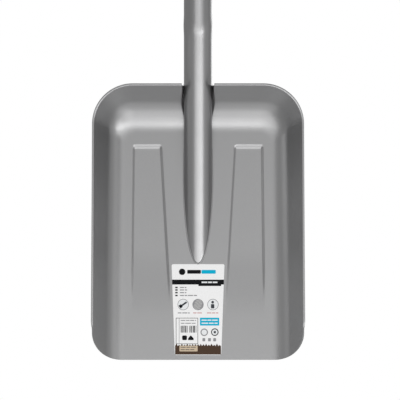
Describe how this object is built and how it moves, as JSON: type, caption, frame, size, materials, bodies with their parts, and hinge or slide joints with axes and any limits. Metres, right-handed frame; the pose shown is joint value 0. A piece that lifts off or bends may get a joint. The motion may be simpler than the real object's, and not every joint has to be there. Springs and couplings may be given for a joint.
{
  "type": "grain scoop shovel",
  "caption": "Square-mouthed steel scoop shovel with raised sides and back, a welded cranked tube handle and a D-shaped hand grip.",
  "frame": {"origin": "middle of the D grip's crossbar, where a hand or a rack peg holds the shovel", "axes": "+Z from the cutting edge up towards the grip, along the scoop's flat floor; the scoop opens towards -Y, which is the front; X runs across the scoop"},
  "size_m": [0.2726, 0.3957, 1.1159],
  "materials": {
    "grey_powder_coat": "silver-grey powder coat, satin",
    "black_plastic": "matt moulded polypropylene",
    "soft_grip": "matt soft-touch rubber",
    "zinc_steel": "zinc plated",
    "printed_label": "printed film"
  },
  "bodies": {
    "root": {"blade": "grey_powder_coat", "shaft_tube": "grey_powder_coat", "weld_tip": "grey_powder_coat", "weld_left": "grey_powder_coat", "weld_right": "grey_powder_coat", "seat_weld_left": "grey_powder_coat", "seat_weld_right": "grey_powder_coat", "rear_weld": "grey_powder_coat", "grip_body": "black_plastic", "grip_sleeve": "soft_grip", "grip_screw_front": "zinc_steel", "grip_screw_rear": "zinc_steel", "label": "printed_label"}
  },
  "joints": []
}
